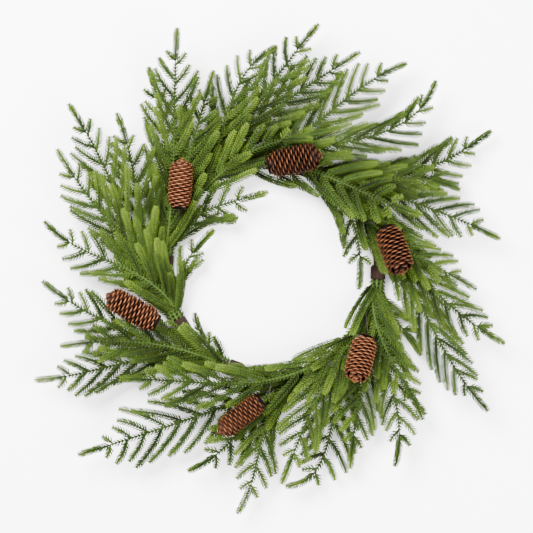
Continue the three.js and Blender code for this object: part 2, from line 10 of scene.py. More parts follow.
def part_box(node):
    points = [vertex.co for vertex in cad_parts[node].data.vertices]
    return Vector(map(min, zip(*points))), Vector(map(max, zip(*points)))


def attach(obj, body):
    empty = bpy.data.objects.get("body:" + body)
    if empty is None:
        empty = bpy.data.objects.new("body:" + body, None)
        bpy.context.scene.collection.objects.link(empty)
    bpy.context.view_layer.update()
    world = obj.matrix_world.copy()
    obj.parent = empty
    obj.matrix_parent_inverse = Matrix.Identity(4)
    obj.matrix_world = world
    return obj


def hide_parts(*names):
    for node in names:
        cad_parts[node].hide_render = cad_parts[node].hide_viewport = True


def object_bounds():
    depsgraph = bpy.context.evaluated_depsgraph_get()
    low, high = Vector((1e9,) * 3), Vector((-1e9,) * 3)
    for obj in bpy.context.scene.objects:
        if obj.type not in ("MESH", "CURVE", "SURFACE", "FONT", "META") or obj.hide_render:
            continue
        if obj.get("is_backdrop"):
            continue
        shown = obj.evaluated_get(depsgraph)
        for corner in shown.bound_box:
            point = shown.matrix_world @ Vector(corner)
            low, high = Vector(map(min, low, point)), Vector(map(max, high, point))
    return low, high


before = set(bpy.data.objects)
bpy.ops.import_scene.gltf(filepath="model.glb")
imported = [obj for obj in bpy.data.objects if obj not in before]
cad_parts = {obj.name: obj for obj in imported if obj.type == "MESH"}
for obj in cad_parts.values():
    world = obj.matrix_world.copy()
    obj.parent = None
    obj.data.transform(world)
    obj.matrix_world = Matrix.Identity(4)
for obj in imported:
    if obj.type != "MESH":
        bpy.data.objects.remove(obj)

bl_info = {
    "name": "Norfolk Pine Wreath",
    "version": (1, 0, 0),
    "blender": (4, 5, 0),
    "location": "View3D > Sidebar > Wreath",
    "description": "Dresses a wreath of artificial norfolk pine: sprays, cones, taped ring and their wires",
    "category": "Add Mesh",
}

# Lengths are in millimetres and angles in degrees, from the middle of the ring and the floor,
# until a mesh is made
MM = 0.001

# The middle of the ring and the box of the solids, in metres
RING_MIDDLE = (np.array(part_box("ring_frame")[0]) + np.array(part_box("ring_frame")[1])) / 2
MODEL_LOW, MODEL_HIGH = (np.array(corner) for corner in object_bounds())

# Ring and wraps, and the low ridges of their tape
RING_RADIUS = 145
RING_SECTION = 5.5
RING_HEIGHT = 9.2
WRAP_LENGTH = 18
WRAP_WALL = 1.4
WRAP_FOOT_HALF = 6
WRAP_CLEARANCE = 0.75
WRAP_HALF_ANGLE = 3.6
BINDING_ANGLES = [212, 176, 145, 112, 72, 42, 358, 328, 296, 250]
RING_SIDES = 14
RING_STEPS = 360
TAPE_LOW = 0.55
TAPE_RIDGE = 0.5
WRAP_TURN = 3.6
WRAP_STEPS = 36
WRAP_INSET = 0.1
WRAP_RIDGE = 0.5
WRAP_EDGE = 0.7
WRAP_EDGE_LENGTH = 1.2

# Stems and twigs
STEM_ROOT_RADIUS = 2
STEM_SEAT = RING_SECTION + STEM_ROOT_RADIUS + 0.3
ROOT_HALF_ANGLE = 4.6
STEM_LEAVES = 0.4
STEM_ARRIVES = 0.36
CURVE_STEPS = 40
TWIG_RADIUS = 1.35
FIRST_SEED = 101
LEADER = 44
PAIR_STEP = 25
BARE_ROOT = 32
TWIG_SHORTEST = 21
TWIG_LONGEST = 70
TWIG_GROWTH = 0.56
TWIG_ANGLE_TIP = 50
TWIG_ANGLE_ROOT = 31
TWIG_ANGLE_REACH = 90
TWIG_BENDS = (0.05, 0.3)
LENGTH_SPREAD = 0.24
SIDE_STAGGER = 5
ROOT_SPREAD = 2
ANGLE_SPREAD = 8
MODEL_STATIONS = 6
CLIMB = {"outside": 0.6, "inside": 0.35}
SPRAY_LEVEL = {"outside": 16, "inside": 10}
CLIMB_START = 4
CLIMB_END = 22
PITCH_TRIES = (0, 5, -5, 10, -10, 16, -16, 23)
TWIG_GAP = 0.8
TWIG_SEAT_LENGTH = 3
FLOOR_GAP = 0.4
BRANCH_INSET = 0.2
STEM_TIP_RADIUS = 0.95
TWIG_ROOT_RADIUS = 1.6
TWIG_TIP_RADIUS = 1.2
TWIG_POINTS = 12
EXTRA_LEAN = (-5, 7)

# Needles: their outline as shares of length and width, where their whorls stand, how they close and
# shorten towards a tip, and how far they stray from the rule, with the stray of the opening in radians
NEEDLE_ROOT_WIDTH = 0.85
NEEDLE_BELLY = 0.66
NEEDLE_BELLY_GROWTH = 1.12
NEEDLE_BEND = 0.12
NEEDLE_FOOT = 0.4
STEM_LEAVES_WRAP = math.radians(ROOT_HALF_ANGLE) * RING_RADIUS + WRAP_LENGTH / 2
FIRST_TWIG_WHORL = 3
TIP_MARGIN = 0.5
WHORL_CROWDING = 0.97
LEADER_PITCH = 0.9
STEM_PITCH = 1.3
STEM_NEEDLE_SIZE = 0.85
CLOSING_END = 5
CLOSED_SHARE = 0.6
SHORTEST_SHARE = 0.42
SHORTENING_END = 24
PLACE_STRAY = 0.07
ROLL_STRAY = 14
TURN_STRAY = 4
OPENING_STRAY = 0.03
NEEDLE_LENGTHS = (0.94, 1.05)

# How young needles are, where 0 is old and 1 is fresh green: along a branch, and added at its tip over
# the last millimetres given by FRESH_END
FRESH_END = 38
LEADER_YOUTH = 0.05
LEADER_TIP_YOUTH = (0.45, 1.0)
STEM_YOUTH = 0.1
TWIG_YOUTH = (-0.14, 0.34)
TWIG_TIP_YOUTH = (0.3, 0.8)

# How light stems and twigs are, from 0 to 1: a stem at its root, and what a twig adds to its youth all
# along and at its tip
STEM_LIGHT = 0.7
TWIG_LIGHT = 0.05
TWIG_TIP_LIGHT = 0.55

# Cones: the turn between scales, the size of the core, the shares of the length over which the ends
# close, and the tilt of the scales: at the apex, added away from it and added at the base
GOLDEN_ANGLE = 137.508
CORE_LENGTH = 0.88
CORE_WIDTH = 0.66
CORE_END = 0.3
CORE_BASE_TONE = 0.8
SCALE_INSET = 1.3
APEX_END = 0.22
BASE_END = 0.1
SCALE_TILT = (-48, 107, 38)
TILT_STRAY = 4
SHADE_STRAY = 0.25

# How dark each cone is, from 0 to 1
CONE_SHADES = (0.1, 0.95, 0.6, 0.2, 0.55, 0.15)

# The seat of a stem round the ring's section, in degrees from straight outward
SEATS = {"outer": -12, "shoulder": 42, "top": 90, "inner_top": 138, "inner": 192}

# Each spray: the binding that holds it, its seat there, where it starts to climb (degrees clockwise
# from the binding), its tip, the way the tip points, and how wide its twigs open against the others'
SPRAYS = [
    (0, "inner_top", -6, (-306, 65), 130, 1.2),
    (0, "top", 5, (-288, 162), 119, 1),
    (0, "shoulder", 15, (-273, 223), 124, 1),
    (0, "outer", 27, (-208, 211), 112, 1),
    (1, "top", 3, (-126, 325), 86, 1),
    (1, "inner_top", 13, (-77, 268), 74, 1),
    (1, "outer", 24, (-166, 274), 108, 1),
    (2, "inner_top", 4, (57, 174), 354, 1),
    (2, "top", 12, (9, 300), 22, 1),
    (2, "shoulder", 20, (65, 331), 49, 1),
    (2, "outer", 31, (121, 293), 32, 1),
    (3, "inner_top", 15, (203, 72), 346, 1.35),
    (3, "top", 12, (184, 278), 20, 1),
    (3, "shoulder", 22, (223, 255), 72, 0.75),
    (4, "outer", 30, (300, 188), 38, 1),
    (4, "top", 10, (256, 107), 332, 0.75),
    (4, "shoulder", 20, (310, 40), 332, 1),
    (5, "top", 2, (278, -28), 328, 1),
    (5, "shoulder", 13, (316, -101), 331, 0.9),
    (5, "outer", 24, (293, -192), 313, 0.85),
    (6, "inner_top", 0, (205, -204), 291, 1),
    (6, "top", 10, (167, -267), 254, 1),
    (6, "outer", 21, (204, -118), 292, 1),
    (7, "inner", -30, (-204, -147), 180, 1),
    (7, "top", 6, (14, -290), 248, 1),
    (6, "shoulder", 40, (107, -271), 266, 1),
    (7, "outer", 27, (19, -294), 182, 1.3),
    (8, "top", 6, (-46, -332), 236, 1),
    (8, "shoulder", 19, (-113, -274), 201, 1.2),
    (8, "outer", 31, (-261, -251), 197, 1.3),
    (9, "top", 2, (-285, -104), 188, 1),
    (9, "shoulder", 10, (-321, -150), 182, 1),
    (9, "outer", 20, (-309, -16), 140, 1),
    (1, "inner", 6, (-3, 104), 16, 1.2),
    (4, "inner", -10, (118, -28), 262, 1.2),
    (0, "inner", 6, (-77, 54), 44, 0.9),
    (9, "inner", 6, (-104, -59), 100, 1),
]

# Each cone: its base and apex, its widest radius, and the ring angle where its wire hooks on
CONES = [
    ((-124, 81, 50), (-119, 150, 56), 17.5, 152),
    ((-4, 139, 51), (70, 154, 59), 20.5, 90),
    ((155, 55, 50), (177, -8, 74), 20.5, 27),
    ((128, -92, 49), (111, -152, 75), 19, 341),
    ((-12, -176, 50), (-72, -222, 51), 16.5, 273),
    ((-153, -73, 50), (-223, -33, 58), 19, 217),
]
WIRE_RADIUS = 0.9
FINE_WIRE_RADIUS = WIRE_RADIUS * 0.8
WIRE_IN_CONE = 7
HOOK_REACH = RING_SECTION + WIRE_RADIUS + 1.2
HOOK_SEATS = (150, 190, 230, 270, 310)
HOOK_RISE = 18

# The photograph: its scale, its frame, and the pixel that lies over the middle of the ring. The camera's
# distance and the height it is measured from, where the scale holds, are in metres
MM_PER_PIXEL = 1.35
FRAME_PIXELS = 533
RING_PIXEL = (271, 269)
CAMERA_DISTANCE = 3.0
FOLIAGE_HEIGHT = 0.04
SENSOR_WIDTH = 36

# The floor and the soft lights over it, in metres: place and width
FLOOR_HALF = 6
FLOOR_DROP = 0.0003
KEY_LIGHT = ((-0.9, 1.1, 1.9), 1.3)
FILL_LIGHT = ((1.2, -0.7, 1.7), 1.6)
FILL_SHARE = 0.45

# The needles of one whorl: degrees round the twig from its right side (90 is up), more opening than the
# needle angle, length against a full needle, and painted light and shade added to the youth: lighter for
# the upper needles, darker for those that point down
WHORL = np.array([
    (-6, 0, 1.0, 0.0),
    (186, 0, 1.0, 0.0),
    (22, 3, 0.98, 0.05),
    (158, 3, 0.98, 0.05),
    (54, 4, 0.72, 0.1),
    (126, 4, 0.72, 0.1),
    (-36, 3, 0.9, -0.45),
    (216, 3, 0.9, -0.45),
])

UP = np.array((0.0, 0.0, 1.0))


def colour_property(name, description, default):
    return FloatVectorProperty(name=name, description=description, default=default, subtype="COLOR")


def length_property(name, description, default):
    return FloatProperty(name=name, description=description, default=default, unit="LENGTH")


class SprayProperties(bpy.types.PropertyGroup):
    """Needles, twigs and stems."""

    needle_length: length_property("Needle length", "Length of a full needle", 0.0092)
    needle_width: length_property("Needle width", "Widest part of a needle", 0.0018)
    whorl_pitch: length_property("Whorl pitch", "Distance between whorls of needles", 0.0037)
    needle_angle: FloatProperty(
        name="Needle angle",
        description="Angle between needle and twig",
        default=math.radians(42),
        subtype="ANGLE",
        unit="ROTATION",
    )
    fresh: colour_property("Fresh green", "Colour of the youngest needles", (0.074, 0.114, 0.011))
    middle: colour_property("Middle green", "Colour of most needles", (0.0145, 0.030, 0.0048))
    # Deep green is also painted shade, at the needles' roots and on the needles that point down
    deep: colour_property("Deep green", "Colour of the oldest needles", (0.0012, 0.0035, 0.001))
    bark: colour_property("Stem green", "Colour of stems and twigs", (0.04, 0.07, 0.015))


class ConeProperties(bpy.types.PropertyGroup):
    """Cones and their scales."""

    scales: IntProperty(name="Scales", description="Scales on one cone", default=150, min=40)
    scale_length: length_property("Scale length", "Length of one scale", 0.0135)
    scale_width: length_property("Scale width", "Width of one scale", 0.0136)
    body: colour_property("Scale brown", "Colour of a scale", (0.008, 0.0024, 0.0014))
    lip: colour_property("Lip tan", "Colour of a scale's lip", (0.17, 0.061, 0.025))
    # The colour between the scales is painted shade; it also darkens whole cones by CONE_SHADES
    depth: colour_property("Depth brown", "Colour between the scales", (0.0008, 0.0003, 0.0002))


class RingProperties(bpy.types.PropertyGroup):
    """Taped ring, wraps and wires."""

    tape: colour_property("Tape brown", "Colour of the paper tape", (0.007, 0.0035, 0.0024))
    wire: colour_property("Wire brown", "Colour of the enamelled wire", (0.008, 0.006, 0.004))
    tape_width: length_property("Tape turn", "Width of each turn of tape that shows", 0.0075)


class StageProperties(bpy.types.PropertyGroup):
    """Floor and lights."""

    floor: colour_property("Floor", "Colour of the floor", (0.93, 0.93, 0.925))
    key_power: FloatProperty(
        name="Key light", description="Power of the main soft light", default=420.0, unit="POWER"
    )
    sky: FloatProperty(name="Sky", description="Strength of the even light all round", default=2.0)


# Places


def planar(degrees, length=1.0):
    return np.array((math.cos(math.radians(degrees)), math.sin(math.radians(degrees)))) * length


def ring_point(degrees, seat=0.0, distance=0.0):
    radius = RING_RADIUS + distance * math.cos(math.radians(seat))
    plan = planar(degrees, radius)
    return np.array((plan[0], plan[1], RING_HEIGHT + distance * math.sin(math.radians(seat))))


def smooth_step(start, end, value):
    share = min(max((value - start) / (end - start), 0.0), 1.0)
    return share * share * (3 - 2 * share)


def unit(vectors):
    return vectors / np.linalg.norm(vectors, axis=-1, keepdims=True)


def in_model(points):
    """Places round the ring, in millimetres, as places in the model, in metres."""
    moved = np.asarray(points, float) * MM
    moved[..., 0] += RING_MIDDLE[0]
    moved[..., 1] += RING_MIDDLE[1]
    return moved


def seeded_random(seed):
    """The same draws as the solids grow from."""
    state = seed & 0xFFFFFFFF

    def draw():
        nonlocal state
        state = (state + 0x6D2B79F5) & 0xFFFFFFFF
        mixed = ((state ^ (state >> 15)) * (state | 1)) & 0xFFFFFFFF
        mixed ^= (mixed + ((mixed ^ (mixed >> 7)) * (mixed | 61))) & 0xFFFFFFFF
        return ((mixed ^ (mixed >> 14)) & 0xFFFFFFFF) / 4294967296

    return draw


class Route:
    """A line through points, measured along its length."""

    def __init__(self, points):
        self.points = np.array(points, float)
        steps = np.linalg.norm(np.diff(self.points, axis=0), axis=1)
        self.distances = np.concatenate(([0.0], np.cumsum(steps)))
        self.length = float(self.distances[-1])

    def at(self, distance):
        reached = np.clip(distance, 0, self.length)
        return np.stack([np.interp(reached, self.distances, self.points[:, k]) for k in range(3)], axis=-1)

    def along(self, distance, reach=3.0):
        return unit(self.at(np.asarray(distance) + reach) - self.at(np.asarray(distance) - reach))

    def heading(self, distance):
        ahead = self.along(distance)
        return math.degrees(math.atan2(ahead[1], ahead[0]))

    def smooth(self, count):
        """The same route with its corners rounded, as many points as asked."""
        first, middle, last = self.points
        control = 2 * middle - (first + last) / 2
        t = np.linspace(0, 1, count)[:, None]
        return Route((1 - t) ** 2 * first + 2 * t * (1 - t) * control + t**2 * last)


class Placed:
    """What is already in place, as thick line segments that belong to a named piece."""

    def __init__(self):
        self.starts, self.ends, self.radii, self.owners = [], [], [], []

    def occupy(self, owner, points, radius):
        for start, end in zip(points[:-1], points[1:]):
            self.starts.append(start)
            self.ends.append(end)
            self.radii.append(radius)
            self.owners.append(owner)

    def is_clear(self, owner, points, radius, gap, only=None):
        """Whether a thick line stays clear of all pieces, or of those whose names start as asked."""
        others = [name != owner and (only is None or name[0].startswith(only)) for name in self.owners]
        chosen = np.array(others)
        starts, ends = np.array(self.starts)[chosen], np.array(self.ends)[chosen]
        limits = np.array(self.radii)[chosen] + radius + gap
        pairs = zip(points[:-1], points[1:])
        return all((segment_distance(start, end, starts, ends) >= limits).all() for start, end in pairs)


def segment_distance(a, b, c, d):
    """Shortest distances between one line segment and many."""
    ab, cd, ca = b - a, d - c, a - c
    abab, cdcd = ab @ ab, (cd * cd).sum(1)
    abcd, abca, cdca = cd @ ab, ca @ ab, (cd * ca).sum(1)
    spread = abab * cdcd - abcd * abcd
    safe = np.where(spread > 1e-9, spread, 1)
    s = np.where(spread > 1e-9, np.clip((abcd * cdca - abca * cdcd) / safe, 0, 1), 0)
    t = np.clip((abcd * s + cdca) / cdcd, 0, 1)
    s = np.clip((abcd * t - abca) / abab, 0, 1)
    return np.linalg.norm(ca + ab * s[:, None] - cd * t[:, None], axis=1)


# Meshes


def loops_of(shape):
    """The points and faces of a bmesh shape, for copying it many times."""
    shape.verts.ensure_lookup_table()
    points = np.array([v.co[:] for v in shape.verts])
    faces = [[v.index for v in face.verts] for face in shape.faces]
    shape.free()
    return points, faces


class Heap:
    """Many copies of small shapes, gathered into one mesh."""

    def __init__(self):
        self.points, self.faces, self.tones, self.count = [], [], [], 0

    def add(self, points, faces, tones):
        """points is (copies, points of the shape, 3), tones the same with 4 values."""
        copies, size = points.shape[:2]
        self.points.append(points.reshape(-1, 3))
        self.tones.append(np.broadcast_to(tones, (copies, size, 4)).reshape(-1, 4))
        starts = self.count + size * np.arange(copies)
        for corners in {len(face) for face in faces}:
            alike = np.array([face for face in faces if len(face) == corners])
            self.faces.extend((starts[:, None, None] + alike[None]).reshape(-1, corners).tolist())
        self.count += copies * size

    def finish(self, name, material):
        mesh = bpy.data.meshes.new(name)
        mesh.from_pydata(in_model(np.concatenate(self.points)).tolist(), [], self.faces)
        tone = mesh.attributes.new("tone", "FLOAT_COLOR", "POINT")
        tone.data.foreach_set("color", np.concatenate(self.tones).astype(np.float32).ravel())
        mesh.shade_smooth()
        return linked_piece(name, mesh, material)


def linked_piece(name, mesh, material):
    mesh.materials.append(material)
    piece = bpy.data.objects.new(name, mesh)
    bpy.context.scene.collection.objects.link(piece)
    return piece


def piece_from(shape, name, material, smooth=True):
    """A bmesh shape, in model metres, as an object."""
    mesh = bpy.data.meshes.new(name)
    shape.to_mesh(mesh)
    shape.free()
    if smooth:
        mesh.shade_smooth()
    return linked_piece(name, mesh, material)


def dress(piece, slot, *nodes):
    """A piece rides on the wreath and stands for its solids, which it hides."""
    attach(piece, "root")
    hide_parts(*nodes)


def unit_needle():
    """A three-sided needle of length 1, its root open inside the branch, drawn to a point at its end."""
    shape = bmesh.new()
    bmesh.ops.create_circle(shape, segments=3, radius=NEEDLE_ROOT_WIDTH)
    edges = shape.edges[:]
    for height, scale in ((NEEDLE_BELLY, NEEDLE_BELLY_GROWTH), (1.0, 0.01)):
        grown = bmesh.ops.extrude_edge_only(shape, edges=edges)["geom"]
        corners = [item for item in grown if isinstance(item, bmesh.types.BMVert)]
        edges = [item for item in grown if isinstance(item, bmesh.types.BMEdge)]
        bmesh.ops.translate(shape, verts=corners, vec=(0, 0, height - corners[0].co.z))
        bmesh.ops.scale(shape, verts=corners, vec=(scale, scale, 1))
    bmesh.ops.pointmerge(shape, verts=corners, merge_co=(0, 0, 1))
    bmesh.ops.recalc_face_normals(shape, faces=shape.faces)
    return loops_of(shape)


def unit_branch(sides, steps):
    """A tube of radius 1 and length 1, closed at both ends."""
    shape = bmesh.new()
    bmesh.ops.create_circle(shape, segments=sides, radius=1, cap_ends=True)
    face = shape.faces[:]
    for _ in range(steps):
        grown = bmesh.ops.extrude_face_region(shape, geom=face)["geom"]
        corners = [item for item in grown if isinstance(item, bmesh.types.BMVert)]
        bmesh.ops.translate(shape, verts=corners, vec=(0, 0, 1 / steps))
        inner = face if face[0].calc_center_median().z > 1e-6 else []
        bmesh.ops.delete(shape, geom=inner, context="FACES_ONLY")
        face = [item for item in grown if isinstance(item, bmesh.types.BMFace)]
    bmesh.ops.recalc_face_normals(shape, faces=shape.faces)
    return loops_of(shape)


# Sprays


def height_rule(spray):
    binding, seat, climbs = spray[:3]
    bound = BINDING_ANGLES[binding]
    seat_height = RING_HEIGHT + STEM_SEAT * math.sin(math.radians(SEATS[seat]))
    place = "inside" if seat == "inner" else "outside"

    def height(x, y):
        travelled = (bound - math.degrees(math.atan2(y, x)) + 90) % 360 - 90
        climbed = SPRAY_LEVEL[place] + CLIMB[place] * (travelled - climbs)
        shingle = max(seat_height, climbed)
        return seat_height + (shingle - seat_height) * smooth_step(CLIMB_START, CLIMB_END, travelled)

    return height


def stem_route(spray, height):
    binding, seat, _, tip, points_at, _ = spray
    bound = BINDING_ANGLES[binding]
    turns = (ROOT_HALF_ANGLE, 0, -ROOT_HALF_ANGLE)
    points = [ring_point(bound + turn, SEATS[seat], STEM_SEAT) for turn in turns]
    start = points[-1][:2]
    end = np.array(tip, float)
    reach = np.linalg.norm(end - start)
    leaves = start + planar(bound - ROOT_HALF_ANGLE - 90, reach * STEM_LEAVES)
    arrives = end - planar(points_at, reach * STEM_ARRIVES)
    for i in range(1, CURVE_STEPS + 1):
        t = i / CURVE_STEPS
        x, y = (
            (1 - t) ** 3 * start + 3 * t * (1 - t) ** 2 * leaves + 3 * t**2 * (1 - t) * arrives + t**3 * end
        )
        points.append(np.array((x, y, height(x, y))))
    return Route(points)


def twig_plans(route, spread, draw):
    """Twigs stand in pairs along the stem, short near its tip and longer towards its root."""
    plans = []
    station = 0
    back = LEADER
    while route.length - back > BARE_ROOT:
        for side in (1, -1):
            grown = min(TWIG_LONGEST, TWIG_SHORTEST + TWIG_GROWTH * (back - LEADER))
            length = grown * (1 + LENGTH_SPREAD * (draw() - 0.5))
            root = route.length - back - ROOT_SPREAD * draw() - (SIDE_STAGGER if side < 0 else 0)
            towards_root = min(1, (back - LEADER) / TWIG_ANGLE_REACH)
            opens = TWIG_ANGLE_TIP + (TWIG_ANGLE_ROOT - TWIG_ANGLE_TIP) * towards_root
            angle = opens * spread + ANGLE_SPREAD * (draw() - 0.5)
            plans.append((station, side, root, length, angle))
        station += 1
        back += PAIR_STEP
    return plans


def in_solids(station, side):
    """Whether the solid spray has this twig too."""
    return station == 0 or (station < MODEL_STATIONS and side == (-1 if station % 2 else 1))


def twig_route(plan, route, height, pitch):
    _, side, root, length, angle = plan
    half = length / 2
    heading = route.heading(root)
    points = [route.at(root)]
    reached = points[0][:2]
    for i, bend in enumerate(TWIG_BENDS):
        reached = reached + planar(heading + side * angle * (1 - bend), half)
        rise = math.tan(math.radians(pitch)) * half * (i + 1)
        points.append(np.array((*reached, height(*reached) + rise)))
    return Route(points)


def grow_wreath():
    """The stem and twigs of every spray, placed as in the solids, with the twigs that they leave out."""
    placed = Placed()
    placed.occupy(("ring",), [ring_point(9 * i) for i in range(41)], RING_SECTION)
    for degrees in BINDING_ANGLES:
        ends = [ring_point(degrees - WRAP_HALF_ANGLE), ring_point(degrees + WRAP_HALF_ANGLE)]
        placed.occupy(("wrap",), ends, STEM_SEAT + STEM_ROOT_RADIUS + 2)
    for base, apex, radius, hook in CONES:
        axis = unit(np.subtract(apex, base))
        ends = [np.array(base) + axis * radius * 0.8, np.array(apex) - axis * radius * 0.8]
        placed.occupy(("cone",), ends, radius)
        placed.occupy(("wire",), wire_points(base, apex, hook), WIRE_RADIUS)
    grown = []
    for i, spray in enumerate(SPRAYS):
        height = height_rule(spray)
        route = stem_route(spray, height)
        placed.occupy(("stem", i), route.points[3:], STEM_ROOT_RADIUS)
        plans = twig_plans(route, spray[5], seeded_random(FIRST_SEED + i))
        grown.append({"route": route, "height": height, "twigs": [], "plans": plans})
    for first in (True, False):
        for i, spray in enumerate(grown):
            noise = np.random.RandomState(FIRST_SEED + i)
            for plan in spray["plans"]:
                lean = noise.uniform(*EXTRA_LEAN)
                if in_solids(*plan[:2]) != first:
                    continue
                tries = PITCH_TRIES if first else tuple(lean + pitch for pitch in PITCH_TRIES)
                for pitch in tries:
                    twig = twig_route(plan, spray["route"], spray["height"], pitch)
                    if (twig.points[:, 2] < TWIG_RADIUS + FLOOR_GAP).any():
                        continue
                    outer = [twig.at(TWIG_SEAT_LENGTH * 4), *twig.points[1:]]
                    only = None if first else ("ring", "wrap", "cone", "wire")
                    if not placed.is_clear(("stem", i), outer, TWIG_RADIUS, TWIG_GAP, only):
                        continue
                    if first:
                        placed.occupy(("twig", i), twig.points, TWIG_RADIUS)
                    spray["twigs"].append((plan, twig))
                    break
    return grown


def add_branch(heap, template, route, root_radius, tip_radius, light):
    """A tapered stem, twig or wire along its route, from root to tip."""
    points, faces = template
    share = points[:, 2]
    distance = share * route.length
    centre = route.at(distance)
    ahead = route.along(distance)
    side = unit(np.cross(ahead, UP))
    over = np.cross(side, ahead)
    radius = root_radius + (tip_radius - root_radius) * share
    flesh = side * (points[:, 0] * radius)[:, None] + over * (points[:, 1] * radius)[:, None]
    back = np.clip(BRANCH_INSET - route.length + distance, 0, BRANCH_INSET)
    inset = centre + flesh - back[:, None] * ahead
    tones = np.stack([light(share), share * 0, share * 0 + 0.5, share * 0 + 1], axis=-1)
    heap.add(inset[None], faces, tones[None])


def add_needles(heap, template, route, begins, pitch, size, youth, noise, settings):
    """Whorls of needles on a branch: feathered rows on both sides, shorter above and below."""
    points, faces = template
    count = max(0, int((route.length - TIP_MARGIN - begins) / pitch))
    if count == 0:
        return
    whorls = begins + (route.length - TIP_MARGIN - begins) * (np.arange(count) / count) ** WHORL_CROWDING
    around, more, longer, painted_shading = (np.tile(column, len(whorls)) for column in WHORL.T)
    places = np.repeat(whorls, len(WHORL)) + noise.uniform(-PLACE_STRAY, PLACE_STRAY, len(around)) * pitch
    places = np.clip(places, 0, route.length)
    copies = len(places)
    roll = noise.uniform(-ROLL_STRAY, ROLL_STRAY)
    turn = np.radians(around + roll + noise.uniform(-TURN_STRAY, TURN_STRAY, copies))
    ahead = route.along(places)
    side = unit(np.cross(ahead, UP))
    over = np.cross(side, ahead)
    out = side * np.cos(turn)[:, None] + over * np.sin(turn)[:, None]
    left = route.length - places
    closing = np.clip(left / CLOSING_END, 0, 1)
    opens = (settings.needle_angle + np.radians(more)) * (CLOSED_SHARE + (1 - CLOSED_SHARE) * closing)
    opens = opens + noise.normal(0, OPENING_STRAY, copies)
    length = settings.needle_length / MM * size
    shortened = np.clip(SHORTEST_SHARE + left / SHORTENING_END, 0, 1)
    reach = length * longer * shortened * noise.uniform(*NEEDLE_LENGTHS, copies)
    width = settings.needle_width / MM
    axis = ahead * np.cos(opens)[:, None] + out * np.sin(opens)[:, None]
    forward = ahead * np.sin(opens)[:, None] - out * np.cos(opens)[:, None]
    across = np.cross(axis, forward)
    centre = route.at(places) + out * NEEDLE_FOOT
    bend = NEEDLE_BEND * reach[:, None] * points[None, :, 2] ** 2
    x = points[None, :, 0] * width / 2 + bend
    y = np.broadcast_to(points[None, :, 1] * width / 2, x.shape)
    z = points[None, :, 2] * reach[:, None]
    made = centre[:, None] + x[..., None] * forward[:, None]
    made += y[..., None] * across[:, None] + z[..., None] * axis[:, None]
    # A needle that would leave the box of the solids is left out
    placed = in_model(made)
    inside = ((placed > MODEL_LOW) & (placed < MODEL_HIGH)).all(axis=(1, 2))
    tones = np.zeros((copies, len(points), 4))
    # Youth along the branch, with the whorl's painted shade and light added: darker on needles that point
    # down, lighter on upper ones
    youth_and_shade = youth[0] + youth[1] * np.clip(1 - left / FRESH_END, 0, 1) + painted_shading
    tones[..., 0] = np.clip(youth_and_shade, 0, 1)[:, None]
    # The share along each needle, which the finish uses for painted shade at its root and painted light at
    # its tip
    tones[..., 1] = points[None, :, 2]
    tones[..., 2] = noise.uniform(0, 1, copies)[:, None]
    heap.add(made[inside], faces, tones[inside])


def stem_light(share):
    return STEM_LIGHT * (1 - share**2)


def twig_light(fresh):
    return lambda share: np.clip(fresh + TWIG_LIGHT + TWIG_TIP_LIGHT * share**2, 0, 1)


def spray_piece(number, spray, templates, material, settings):
    """One spray: stem, twigs and all their needles."""
    noise = np.random.RandomState(FIRST_SEED * 7 + number)
    heap = Heap()
    needle, stem_tube, twig_tube = templates
    route = spray["route"]
    pitch = settings.whorl_pitch / MM
    leader = route.length - LEADER
    add_branch(heap, stem_tube, route, STEM_ROOT_RADIUS, STEM_TIP_RADIUS, stem_light)
    youth = (LEADER_YOUTH, noise.uniform(*LEADER_TIP_YOUTH))
    add_needles(heap, needle, route, leader, pitch * LEADER_PITCH, 1.0, youth, noise, settings)
    below = Route([route.at(d) for d in np.arange(0, leader, 4)])
    youth = (STEM_YOUTH, 0)
    apart = pitch * STEM_PITCH
    add_needles(heap, needle, below, STEM_LEAVES_WRAP, apart, STEM_NEEDLE_SIZE, youth, noise, settings)
    for _, twig in spray["twigs"]:
        twig_line = twig.smooth(TWIG_POINTS)
        fresh = noise.uniform(*TWIG_YOUTH)
        add_branch(heap, twig_tube, twig_line, TWIG_ROOT_RADIUS, TWIG_TIP_RADIUS, twig_light(fresh))
        youth = (fresh, noise.uniform(*TWIG_TIP_YOUTH))
        add_needles(heap, needle, twig_line, FIRST_TWIG_WHORL, pitch, 1.0, youth, noise, settings)
    piece = heap.finish(f"fine_spray_{number:02d}", material)
    dress(piece, "needles", f"spray_{number:02d}")


# Cones


def cone_radius(share):
    """How wide a cone is along its length, as a share of its widest."""
    if share < 0.75:
        return 0.82 + 0.18 * math.sin(math.pi * (0.2 + 0.55 * share))
    return 0.98 * math.sqrt(max(0.0, 1 - ((share - 0.75) / 0.255) ** 2))


def unit_scale():
    """A cone scale of length and width 1: a spoon with a rounded, thickened lip."""
    shape = bmesh.new()
    bmesh.ops.create_grid(shape, x_segments=4, y_segments=4, size=0.5)
    bmesh.ops.translate(shape, verts=shape.verts, vec=(0, 0.5, 0))
    for corner in shape.verts:
        across, share = corner.co.x * 2, corner.co.y
        spread = 0.34 + 0.66 * math.sin(math.pi * min(share, 0.62) / 1.24)
        rounding = 1 - 0.16 * across**2 * max(0.0, (share - 0.45) / 0.55)
        corner.co.x = across * 0.5 * spread * (1 - 0.12 * max(0.0, share - 0.75) / 0.25)
        corner.co.y = share * rounding
        corner.co.z = -0.16 * across**2 * spread + 0.10 * share**2
    geometry = shape.verts[:] + shape.edges[:] + shape.faces[:]
    bmesh.ops.solidify(shape, geom=geometry, thickness=0.09)
    bmesh.ops.recalc_face_normals(shape, faces=shape.faces)
    return loops_of(shape)


